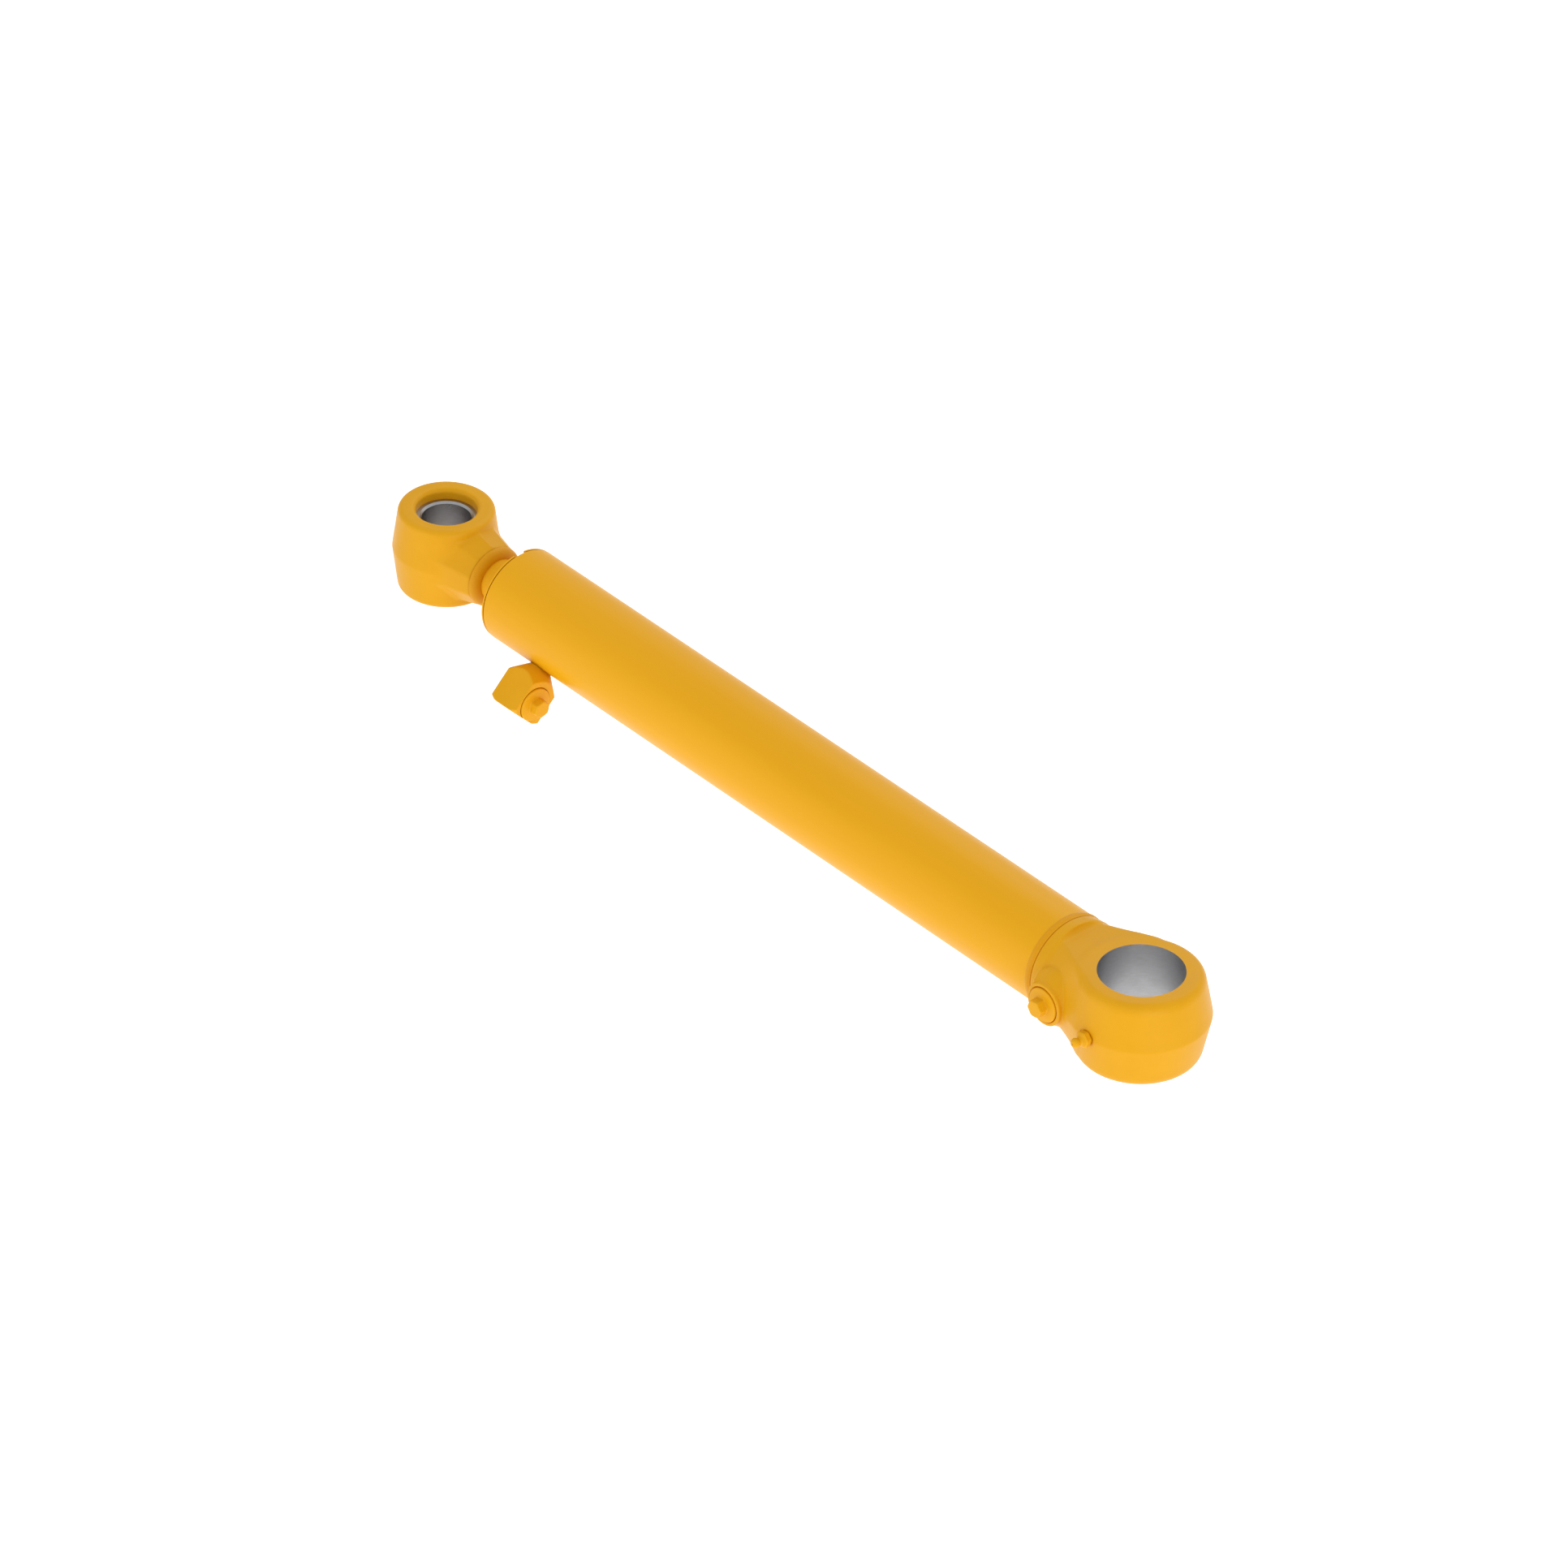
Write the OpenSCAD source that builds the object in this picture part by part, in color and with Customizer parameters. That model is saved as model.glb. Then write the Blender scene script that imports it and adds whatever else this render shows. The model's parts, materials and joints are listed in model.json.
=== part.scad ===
// Double-acting hydraulic cylinder with a welded base eye, a screwed-in gland
// and a welded rod eye. Both pin bores run along Z. The rod slides along -X.

/* [Cylinder] */
// Outer diameter of the barrel tube
tube_od = 80; // [79:0.5:82]
// Bore of the barrel tube
bore_d = 63; // [62:0.5:64]
// Diameter of the chromed piston rod
rod_d = 36; // [35:0.5:37]
// Travel of the rod
stroke = 475; // [250:5:800]

/* [Base eye] */
// Width of the base eye along its pin
base_eye_w = 74.8; // [70:0.2:78]
// Largest diameter of the base eye, at its middle
base_eye_d = 111.2; // [106:0.2:114]
// Bore of the base eye, for a spherical bearing
base_bore_d = 68; // [60:0.5:72]

/* [Rod eye] */
// Width of the rod eye along its pin
rod_eye_w = 72.6; // [70:0.2:76]
// Largest diameter of the rod eye, at its middle
rod_eye_d = 86.4; // [84:0.2:90]
// Bore of the rod eye's bushing
rod_bore_d = 40; // [36:0.5:42]

/* [Ports] */
// Hex across flats of the two port plugs
plug_hex = 13.4; // [12:0.2:17]
// Flange radius of the two port plugs
plug_r = 14.4; // [14:0.1:14.6]

/* [Hidden] */
$fn = 96;

paint = [0.91, 0.65, 0.15];
steel = [0.62, 0.63, 0.64];
chrome = [0.80, 0.82, 0.84];
rubber = [0.12, 0.12, 0.13];
bronze = [0.55, 0.40, 0.22];
polymer = [0.20, 0.42, 0.30];

// Clearances: between sliding parts, between parts that are fixed together,
// and between turned grooves and what lies in them
run_gap = 0.04;
fit_gap = 0.05;
groove_gap = 0.1;
through = 1;

tube_r = tube_od / 2;
bore_r = bore_d / 2;
rod_r = rod_d / 2;

// Stations along X, from the base pin towards the rod end
neck_end_x = -73;
weld_x = -82.5;
cap_face_x = -96;
end_gap = 3;
rod_end_x = cap_face_x - end_gap;
nut_x = rod_end_x - 2;
nut_h = 22;
piston_x = nut_x - nut_h;
piston_len = 55;
piston_front_x = piston_x - piston_len;
nose_x = piston_front_x - stroke - end_gap;
nose_len = 26;
thread_x = nose_x - nose_len - 18;
tube_head_x = nose_x - 70;
gland_face_x = tube_head_x - 3;
rod_eye_x = gland_face_x - 90;
head_port_x = nose_x - 12.8;

// Base eye: a double cone with its largest diameter at mid-width
base_r = base_eye_d / 2;
base_half_w = base_eye_w / 2;
base_draft = 0.2;
base_round = 7.2;
web_r = base_r - 0.6;
web_angle = 13.2;
web_end = web_r * sin(web_angle) + 0.5;
web_widening = 0.3;
base_port_x = -52;
base_port_y = 52;
base_boss_r = 17.6;
base_boss_foot_r = 25;
oil_way_r = 6;
oil_way_y = -22;

// Grease fitting: distances from the base pin's axis
grease_seat = 54.4;
grease_hex = 12;
grease_tip = 69.2;
grease_bore_r = 1.3;
ball_r = 1.2;
ball_at = 66.4;
spring_low = 60.2;

// Rod eye
rod_eye_r = rod_eye_d / 2;
rod_half_w = rod_eye_w / 2;
rod_draft = 0.12;
rod_round = 3;
bush_r = 24.6;
bush_half = 27.2;
collar_r = 25.6;
collar_x = rod_eye_x + 58.4;

// Head port block: measured outwards from the barrel's axis
block_half_x = 15;
block_half_w = 16;
block_low = 80.4;
block_angle = 135;
block_neck_r = 9.6;
port_out = 66;
block_face_x = head_port_x + block_half_x;

// Plugs: their flanges sit in a round seat, and stand a little proud of it
seat_gap = 0.8;
seat_depth = 2.2;
plug_proud = 1.2;
plug_hex_h = 8.5;
plug_depth = 13;
shank_r = 11.5;
o_ring_seat_r = 13.2;
o_ring_seat_depth = 2.8;
o_ring_section = 1.3;
hex_round = 1.1547;

// Gland bores and grooves, each at its distance in from the gland's face
gland_bore_r = rod_r + 0.25;
thread_r = bore_r + 2.5;
slot_w = 11;
slot_turn = 2;
seal_r = rod_r + 5;
guide_r = rod_r + 2.5;
guide_w = 12;
guide_at = [38, 55];
wiper_at = 0;
wiper_w = 7;
rod_seal_at = 14;
rod_seal_w = 9;
buffer_at = 28;
buffer_w = 6;
static_at = 36;
static_w = 5.2;
static_r = bore_r - 2.8;
backup_w = 1.4;

// Piston grooves, each at its distance from the nut's side of the piston
piston_r = bore_r - 0.3;
spigot_r = 14;
nut_thread_r = 12;
wear_at = [5, 38];
wear_w = 12;
wear_r = bore_r - 2.5;
seal_at = 23.5;
seal_w = 8;
energizer_r = bore_r - 5.2;
piston_ring_r = bore_r - 2.3;
o_ring_at = 27.5;

// A solid turned about the X axis from points [radius, x]
module turned(points) {
    rotate([0, 90, 0]) rotate_extrude() polygon(points);
}

// A cylinder or cone along X, from x0 to x1
module bar_x(x0, x1, r0, r1) {
    translate([x0, 0, 0]) rotate([0, 90, 0]) cylinder(h = x1 - x0, r1 = r0, r2 = r1);
}

// A square-cut ring about X
module ring_x(x0, x1, r_in, r_out) {
    turned([[r_in, x0], [r_out, x0], [r_out, x1], [r_in, x1]]);
}

// A round-section ring about the local Z axis
module o_ring(r_centre, r_section) {
    rotate_extrude() translate([r_centre, 0]) circle(r = r_section, $fn = 32);
}

// Puts a part that is drawn upwards along +Z on the radial axis of the head port
module on_port_radius() {
    translate([head_port_x, 0, 0]) rotate([block_angle, 0, 0]) children();
}

// Puts a part that is drawn upwards along +Z on the head port's own axis
module on_head_port() {
    translate([block_face_x, 0, 0]) rotate([block_angle, 0, 0])
        translate([0, 0, port_out]) rotate([0, 90, 0]) children();
}

// Puts a part that is drawn upwards along +Z on the base port's axis
module on_base_port() {
    translate([base_port_x, -base_port_y, 0]) rotate([90, 0, 0]) children();
}

// Puts a part that is drawn upwards along +Z on the grease fitting's axis
module on_grease_axis() {
    rotate([90, 0, 0]) children();
}

// Half of an eye's section: a double cone with rounded outer corners
module eye_section(r, half_w, draft, round_r) {
    corner_r = r - draft * half_w;
    centre_r = corner_r - round_r + draft * round_r * 0.1;
    centre_z = half_w - round_r;
    polygon([
        [0, -half_w], [centre_r, -half_w],
        [r - draft * centre_z - round_r * 0.02, -centre_z], [r, 0],
        [r - draft * centre_z - round_r * 0.02, centre_z],
        [centre_r, half_w], [0, half_w]
    ]);
    for (side = [-1, 1]) {
        translate([centre_r, side * centre_z]) circle(r = round_r);
    }
}

// Hexagon head with its corners chamfered, drawn upwards from z = 0
module hex_head(flats, height) {
    corner_r = flats / 2 * hex_round;
    intersection() {
        cylinder(h = height, r = corner_r, $fn = 6);
        cylinder(h = height, r1 = corner_r + height - 0.8, r2 = corner_r - 0.8);
    }
}

// A flanged plug with a hex head and a threaded shank, in a port whose face is at z = 0
module plug(turn) {
    neck_low = -seat_depth - o_ring_seat_depth - 0.4;
    translate([0, 0, -seat_depth]) cylinder(h = seat_depth, r = plug_r);
    cylinder(h = plug_proud, r1 = plug_r, r2 = plug_r - plug_proud);
    translate([0, 0, plug_proud]) rotate([0, 0, turn]) hex_head(plug_hex, plug_hex_h);
    translate([0, 0, neck_low]) cylinder(h = -neck_low - seat_depth, r = shank_r - 1);
    translate([0, 0, -plug_depth]) cylinder(h = plug_depth + neck_low, r = shank_r);
}

// The space a plug screws into: a round seat, a pocket for the O-ring and the thread
module plug_hole() {
    translate([0, 0, -seat_depth]) cylinder(h = seat_depth + through, r = plug_r + seat_gap);
    translate([0, 0, -seat_depth - o_ring_seat_depth]) cylinder(h = o_ring_seat_depth + 0.1, r = o_ring_seat_r);
    translate([0, 0, -plug_depth - 1]) cylinder(h = plug_depth, r = shank_r + fit_gap);
}

module barrel_tube() {
    color(paint) difference() {
        turned([
            [bore_r, tube_head_x], [tube_r - 0.6, tube_head_x], [tube_r, tube_head_x + 0.6],
            [tube_r, weld_x - 3.5], [bore_r + 1.5, weld_x], [bore_r, weld_x]
        ]);
        bar_x(tube_head_x - through, thread_x + 2, thread_r, thread_r);
        bar_x(thread_x + 1.99, thread_x + 4.5, thread_r, bore_r);
        on_port_radius() cylinder(h = tube_r + 5, r = block_neck_r + fit_gap);
    }
}

// Everything behind a plane whose normal is turned by az and tilted up by el
module behind_plane(az, el, distance) {
    size = 400;
    rotate([0, -el, az]) translate([distance - size, -size / 2, -size / 2]) cube(size);
}

// The web between the neck and the eye: a widening cone about X, cut flush
// with the eye's faces and by drafted planes that run into the eye's sides
module base_web() {
    length = -neck_end_x + 1;
    intersection() {
        translate([-length, -base_eye_d / 2, -base_half_w])
            cube([length - web_end, base_eye_d, base_eye_w]);
        bar_x(-length, 0, tube_r - 0.3, tube_r - 0.3 + web_widening * length);
        for (side = [-1, 1], half = [-1, 1]) {
            behind_plane(side * (90 + web_angle), half * atan(base_draft), web_r * cos(atan(base_draft)));
        }
    }
}

module base_eye() {
    color(paint) difference() {
        union() {
            rotate_extrude() eye_section(base_r, base_half_w, base_draft, base_round);
            turned([
                [0, cap_face_x], [bore_r - 2, cap_face_x], [bore_r - fit_gap, cap_face_x + 2],
                [bore_r - fit_gap, weld_x], [bore_r + 1.5, weld_x], [tube_r, weld_x + 1.5],
                [tube_r, neck_end_x], [0, neck_end_x]
            ]);
            base_web();
            translate([base_port_x, -base_port_y, 0]) rotate([-90, 0, 0]) {
                cylinder(h = 4, r = base_boss_r);
                translate([0, 0, 4]) cylinder(h = 11, r1 = base_boss_r, r2 = base_boss_foot_r);
            }
        }
        cylinder(h = base_eye_w + 2 * through, r = base_bore_d / 2, center = true);
        on_base_port() plug_hole();
        translate([base_port_x, oil_way_y + oil_way_r, 0]) rotate([90, 0, 0]) cylinder(h = 24, r = 8);
        translate([0, oil_way_y, 0]) bar_x(cap_face_x - through, base_port_x, oil_way_r, oil_way_r);
        on_grease_axis() rotate([0, 0, 40]) {
            translate([0, 0, grease_seat]) cylinder(h = 10, r = grease_hex / 2 * hex_round + 0.7);
            translate([0, 0, 45]) cylinder(h = 15, r = 4 + fit_gap);
            translate([0, 0, 30]) cylinder(h = 20, r = 2);
        }
    }
}

module base_weld() {
    color(paint) turned([
        [bore_r + 1.5, weld_x], [tube_r, weld_x - 3.5], [tube_r + 0.55, weld_x - 2.6],
        [tube_r + 0.75, weld_x - 1.2], [tube_r + 0.55, weld_x + 0.4], [tube_r, weld_x + 1.5]
    ]);
}

module port_plugs() {
    color(paint) {
        on_head_port() plug(42);
        on_base_port() plug(-22);
    }
}

module plug_o_ring() {
    translate([0, 0, -seat_depth - o_ring_seat_depth / 2]) o_ring(o_ring_seat_r - 1.35, o_ring_section);
}

module port_plug_o_rings() {
    color(rubber) {
        on_head_port() plug_o_ring();
        on_base_port() plug_o_ring();
    }
}

module grease_fitting() {
    hex_top = grease_seat + 6;
    waist_r = 2.7;
    head_r = 3.5;
    color(paint) on_grease_axis() difference() {
        union() {
            translate([0, 0, 47]) cylinder(h = grease_seat - 47, r = 4);
            translate([0, 0, grease_seat]) hex_head(grease_hex, 6);
            translate([0, 0, hex_top]) cylinder(h = 1.2, r1 = 4.8, r2 = waist_r);
            translate([0, 0, hex_top]) cylinder(h = 4, r = waist_r);
            translate([0, 0, hex_top + 3.4]) cylinder(h = 1, r1 = waist_r, r2 = head_r);
            translate([0, 0, hex_top + 4.4]) cylinder(h = 2.6, r = head_r);
            translate([0, 0, hex_top + 7]) cylinder(h = grease_tip - hex_top - 7, r1 = head_r, r2 = 2);
        }
        translate([0, 0, 46]) cylinder(h = grease_tip, r = 0.8);
        translate([0, 0, spring_low - 0.1]) cylinder(h = 66.6 - spring_low + 0.1, r = grease_bore_r);
        translate([0, 0, 66.59]) cylinder(h = grease_tip - 66.59, r1 = grease_bore_r, r2 = 0.8);
    }
}

module grease_spring() {
    turns = 7;
    wire_r = 0.18;
    pitch = (ball_at - ball_r - 0.1 - spring_low - 2 * wire_r) / (turns - 1);
    color(steel) on_grease_axis() for (i = [0 : turns - 1]) {
        translate([0, 0, spring_low + wire_r + i * pitch]) o_ring(0.95, wire_r);
    }
}

module grease_ball() {
    color(steel) on_grease_axis() translate([0, 0, ball_at]) sphere(r = ball_r);
}

module head_port_block() {
    color(paint) difference() {
        on_port_radius() intersection() {
            translate([-block_half_x, -block_half_w, 0])
                cube([2 * block_half_x, 2 * block_half_w, block_low]);
            rotate_extrude() polygon([
                [0, 34], [block_neck_r, 34], [block_neck_r, 40.4], [30, 61.4],
                [30, 72], [17.8, block_low], [0, block_low]
            ]);
        }
        on_head_port() plug_hole();
        on_port_radius() translate([0, 0, 33]) cylinder(h = port_out - 33, r = oil_way_r);
        on_head_port() translate([0, 0, -block_half_x - 1]) cylinder(h = 6, r = 7);
    }
}

module head_block_weld() {
    color(paint) difference() {
        on_port_radius() translate([0, 0, 39.2]) cylinder(h = 1.2, r = block_neck_r + 1);
        on_port_radius() translate([0, 0, 34]) cylinder(h = 10, r = block_neck_r);
        bar_x(head_port_x - 20, head_port_x + 20, tube_r, tube_r);
    }
}

// One groove cut out from the gland's rod bore
module rod_groove(at, width, r) {
    ring_x(gland_face_x + at, gland_face_x + at + width, rod_r, r);
}

module gland() {
    static_x = gland_face_x + static_at;
    shoulder_x = tube_head_x - 0.5;
    color(paint) difference() {
        turned([
            [gland_bore_r, gland_face_x], [tube_r - 1.2, gland_face_x], [tube_r - 0.2, gland_face_x + 1],
            [tube_r - 0.2, shoulder_x], [thread_r + 3, shoulder_x],
            [thread_r + 3, tube_head_x], [thread_r - fit_gap, tube_head_x],
            [thread_r - fit_gap, thread_x], [bore_r - fit_gap, thread_x + 3],
            [bore_r - fit_gap, nose_x - nose_len], [bore_r - 5.5, nose_x - nose_len + 1],
            [bore_r - 5.5, nose_x - 1], [bore_r - 6.5, nose_x], [gland_bore_r, nose_x]
        ]);
        rod_groove(wiper_at - through, wiper_w + through, seal_r - 0.5);
        rod_groove(rod_seal_at, rod_seal_w, seal_r);
        rod_groove(buffer_at, buffer_w, seal_r - 0.5);
        for (at = guide_at) rod_groove(at, guide_w, guide_r);
        ring_x(static_x, static_x + static_w, static_r, bore_r + 1);
        for (turn = [slot_turn, slot_turn + 180]) {
            rotate([turn, 0, 0]) translate([gland_face_x - through, -slot_w / 2, tube_r - 5])
                cube([tube_head_x - gland_face_x + through - 0.4, slot_w, 10]);
        }
    }
}

module gland_o_ring() {
    ring_r = (bore_r - static_r) / 2;
    color(rubber) translate([gland_face_x + static_at + static_w - 1.9, 0, 0])
        rotate([0, 90, 0]) o_ring(static_r + ring_r, ring_r);
}

module gland_backup_ring() {
    static_x = gland_face_x + static_at;
    color(polymer) ring_x(static_x, static_x + backup_w, static_r, bore_r);
}

module rod_guide_rings() {
    color(bronze) for (at = guide_at) {
        ring_x(gland_face_x + at, gland_face_x + at + guide_w, rod_r + run_gap, guide_r);
    }
}

// A lip seal: a ring with a V cut into its pressure side and an inner lip on the rod
module lip_seal(x0, width, r_out) {
    mid_r = (rod_r + r_out) / 2;
    color(rubber) turned([
        [rod_r + 0.5, x0], [r_out, x0], [r_out, x0 + width], [r_out - 0.9, x0 + width],
        [mid_r, x0 + width * 0.55], [rod_r + 0.9, x0 + width],
        [rod_r + run_gap, x0 + width * 0.9], [rod_r + 0.4, x0 + width * 0.6]
    ]);
}

module rod_seal() {
    lip_seal(gland_face_x + rod_seal_at, rod_seal_w, seal_r);
}

module rod_buffer_seal() {
    lip_seal(gland_face_x + buffer_at, buffer_w, seal_r - 0.5);
}

module rod_wiper() {
    color(rubber) turned([
        [rod_r + run_gap, gland_face_x - 0.8], [rod_r + 1.2, gland_face_x - 1.2],
        [rod_r + 2.2, gland_face_x + 1.6], [seal_r - 0.5, gland_face_x + 1.6],
        [seal_r - 0.5, gland_face_x + wiper_w], [rod_r + 0.6, gland_face_x + wiper_w],
        [rod_r + 0.5, gland_face_x + 1.4]
    ]);
}

// A ring in one of the piston's grooves, measured back from the nut's side
module piston_ring(at, width, r_in) {
    ring_x(piston_x - at - width + groove_gap, piston_x - at - groove_gap, r_in + fit_gap, bore_r - run_gap);
}

module piston_seal() {
    color(polymer) piston_ring(seal_at, seal_w, piston_ring_r);
}

module piston_seal_energizer() {
    color(rubber) ring_x(
        piston_x - seal_at - seal_w + groove_gap, piston_x - seal_at - groove_gap,
        energizer_r + fit_gap, piston_ring_r + fit_gap
    );
}

module piston_wear_rings() {
    color(bronze) for (at = wear_at) piston_ring(at, wear_w, wear_r);
}

// One groove cut into the piston's outside
module piston_groove(at, width, r) {
    ring_x(piston_x - at - width, piston_x - at, r, bore_r + 1);
}

module piston() {
    color(steel) difference() {
        turned([
            [spigot_r + fit_gap, piston_front_x], [piston_r - 2, piston_front_x], [piston_r, piston_front_x + 2],
            [piston_r, piston_x - 2], [piston_r - 2, piston_x], [spigot_r + fit_gap, piston_x]
        ]);
        piston_groove(seal_at, seal_w, energizer_r);
        for (at = wear_at) piston_groove(at, wear_w, wear_r);
        ring_x(piston_x - o_ring_at - 1.6, piston_x - o_ring_at + 1.6, spigot_r, spigot_r + 2.6);
    }
}

module piston_o_ring() {
    color(rubber) translate([piston_x - o_ring_at, 0, 0]) rotate([0, 90, 0]) o_ring(spigot_r + 1.3, 1.3);
}

module piston_nut() {
    color(steel) difference() {
        translate([piston_x, 0, 0]) rotate([0, 90, 0]) hex_head(36, nut_h);
        bar_x(piston_x - through, nut_x + through, nut_thread_r + fit_gap, nut_thread_r + fit_gap);
    }
}

module piston_rod() {
    color(chrome) turned([
        [0, collar_x - 1.4], [10, collar_x - 1.4], [rod_r, collar_x + 4.6],
        [rod_r, piston_front_x - 1], [rod_r - 1, piston_front_x], [spigot_r, piston_front_x],
        [spigot_r, piston_x - 2.4], [nut_thread_r, piston_x - 0.4],
        [nut_thread_r, rod_end_x - 1.5], [nut_thread_r - 1.5, rod_end_x], [0, rod_end_x]
    ]);
}

module rod_eye() {
    neck_x = rod_eye_x + 20;
    neck_r = 36;
    neck_flats = 10;
    color(paint) difference() {
        union() {
            translate([rod_eye_x, 0, 0]) rotate_extrude()
                eye_section(rod_eye_r, rod_half_w, rod_draft, rod_round);
            turned([
                [0, rod_eye_x], [collar_r, rod_eye_x], [collar_r, collar_x], [10, collar_x - 1.4], [0, collar_x - 1.4]
            ]);
            translate([neck_x, 0, 0]) rotate([0, 90, 0])
                cylinder(h = collar_x - 2 - neck_x, r1 = neck_r, r2 = collar_r + 1, $fn = neck_flats);
        }
        translate([rod_eye_x, 0, 0]) {
            cylinder(h = rod_eye_w + 2 * through, r = bush_r, center = true);
            for (side = [0, 1]) mirror([0, 0, side]) translate([0, 0, rod_half_w - 2.4])
                cylinder(h = 2.4 + 0.01, r1 = bush_r, r2 = bush_r + 2.4);
        }
    }
}

module rod_eye_weld() {
    color(paint) turned([
        [10, collar_x - 1.4], [collar_r, collar_x], [collar_r - 0.2, collar_x + 2.4],
        [collar_r - 1.6, collar_x + 5.4], [22.2, collar_x + 7], [rod_r, collar_x + 7.4], [rod_r, collar_x + 4.6]
    ]);
}

module rod_eye_bushing() {
    bore = rod_bore_d / 2;
    lead = 1.6;
    color(steel) translate([rod_eye_x, 0, 0]) rotate_extrude() polygon([
        [bore, -bush_half + lead], [bore + lead, -bush_half], [bush_r, -bush_half],
        [bush_r, bush_half], [bore + lead, bush_half], [bore, bush_half - lead]
    ]);
}

barrel_tube();
base_eye();
base_weld();
grease_fitting();
grease_spring();
grease_ball();
head_port_block();
head_block_weld();
port_plugs();
port_plug_o_rings();
gland();
gland_o_ring();
gland_backup_ring();
rod_guide_rings();
rod_seal();
rod_buffer_seal();
rod_wiper();
piston_seal();
piston_seal_energizer();
piston_wear_rings();
piston();
piston_o_ring();
piston_nut();
piston_rod();
rod_eye();
rod_eye_weld();
rod_eye_bushing();
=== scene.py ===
"""Looks of a welded hydraulic cylinder: its forged eyes, weld beads, plugs and paint."""

import json
import math

import bpy
import numpy as np
from mathutils import Matrix, Vector


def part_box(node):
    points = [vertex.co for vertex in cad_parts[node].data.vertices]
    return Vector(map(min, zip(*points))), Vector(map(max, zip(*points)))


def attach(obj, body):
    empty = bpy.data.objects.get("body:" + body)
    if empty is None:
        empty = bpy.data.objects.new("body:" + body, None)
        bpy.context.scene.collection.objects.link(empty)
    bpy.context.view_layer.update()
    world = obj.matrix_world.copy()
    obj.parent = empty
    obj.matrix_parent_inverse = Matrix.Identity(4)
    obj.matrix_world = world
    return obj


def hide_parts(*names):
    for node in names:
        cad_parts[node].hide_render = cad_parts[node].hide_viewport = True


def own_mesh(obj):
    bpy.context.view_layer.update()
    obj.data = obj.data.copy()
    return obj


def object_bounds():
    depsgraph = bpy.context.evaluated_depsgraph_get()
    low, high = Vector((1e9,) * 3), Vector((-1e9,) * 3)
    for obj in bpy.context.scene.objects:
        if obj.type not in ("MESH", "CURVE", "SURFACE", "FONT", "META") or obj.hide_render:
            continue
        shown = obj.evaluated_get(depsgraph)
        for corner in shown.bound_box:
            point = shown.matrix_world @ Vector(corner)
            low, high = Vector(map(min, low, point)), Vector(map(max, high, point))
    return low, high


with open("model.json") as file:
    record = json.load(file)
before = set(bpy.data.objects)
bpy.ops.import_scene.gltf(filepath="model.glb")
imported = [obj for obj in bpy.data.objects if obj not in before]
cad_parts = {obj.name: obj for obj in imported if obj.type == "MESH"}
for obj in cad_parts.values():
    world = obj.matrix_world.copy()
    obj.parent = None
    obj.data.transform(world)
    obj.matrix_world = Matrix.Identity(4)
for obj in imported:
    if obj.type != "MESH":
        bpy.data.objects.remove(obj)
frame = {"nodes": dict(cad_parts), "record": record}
cad_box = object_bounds()

MM = 0.001


# ---- sizes, in millimetres, from the frame ----


def mount(name):
    return next(m for m in frame["record"]["mounts"] if m["name"] == name)


def node_points(name):
    """The vertices of a CAD node, in millimetres."""
    mesh = frame["nodes"][name].data
    points = np.empty(len(mesh.vertices) * 3)
    mesh.vertices.foreach_get("co", points)
    return points.reshape(-1, 3) / MM


def node_box(name):
    low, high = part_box(name)
    return np.array(low) / MM, np.array(high) / MM


ROD_PIN_X = mount("rod_pin_bore")["pos_m"][0] / MM
BASE_BORE_R = mount("base_pin_bore")["dims"]["r_mm"]
BASE_LOW, BASE_HIGH = node_box("base_eye")
ROD_EYE_LOW, ROD_EYE_HIGH = node_box("rod_eye")
TUBE_R = node_box("barrel_tube")[1][2]
BASE_WELD_X = [corner[0] for corner in node_box("base_weld")]
ROD_WELD_X = [corner[0] for corner in node_box("rod_eye_weld")]
BUSH_R = node_box("rod_eye_bushing")[1][1]
ROD_R = node_box("piston_rod")[1][1]
GREASE_TIP = -node_box("grease_fitting")[0][1]
GLAND_FACE_X = node_box("gland")[0][0]

# The flat on the base eye that the grease fitting screws down to
GREASE_SEAT = 54.4

# The two port plugs: heights over the port's face, and where each one stands
PLUG_PROUD = 1.2
PLUG_HEX_H = 8.5
PLUG_TOP = PLUG_PROUD + PLUG_HEX_H
SEAT_DEPTH = 2.2
THREAD_R = 11.55
THREAD_DEPTH = 14
POCKET_R = 13.2
POCKET_DEPTH = 5
plug_points = node_points("port_plugs")
base_plug = plug_points[plug_points[:, 0] > ROD_PIN_X / 2]
head_plug = plug_points[plug_points[:, 0] < ROD_PIN_X / 2]
BASE_PORT_X = (base_plug[:, 0].min() + base_plug[:, 0].max()) / 2
PLUG_R = (base_plug[:, 0].max() - base_plug[:, 0].min()) / 2
BASE_PORT_Y = -base_plug[:, 1].min() - PLUG_TOP
HEAD_PORT_X = head_plug[:, 0].max() - PLUG_TOP

# The port block, which stands off the barrel at 45 degrees
OUTWARD = np.array([0, -1, -1]) / math.sqrt(2)
SIDEWAYS = np.array([0, -1, 1]) / math.sqrt(2)
block_points = node_points("head_port_block")
BLOCK_X = (block_points[:, 0].min() + block_points[:, 0].max()) / 2
BLOCK_HALF_X = (block_points[:, 0].max() - block_points[:, 0].min()) / 2
BLOCK_LOW = (block_points @ OUTWARD).max()
BLOCK_HALF_W = (block_points @ SIDEWAYS).max()
PORT_OUT = ((head_plug @ OUTWARD).min() + (head_plug @ OUTWARD).max()) / 2


# ---- solids as distance fields, which blend softly like forgings ----


def smooth_max(a, b, size):
    """The overlap of two solids, with its edge rounded."""
    near = np.maximum(size - np.abs(a - b), 0)
    return np.maximum(a, b) + near * near / (4 * size)


def smooth_min(a, b, size):
    """Two solids joined, with a fillet between them."""
    return -smooth_max(-a, -b, size)


def soft_abs(x, size):
    return np.sqrt(x * x + size * size) - size


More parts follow.
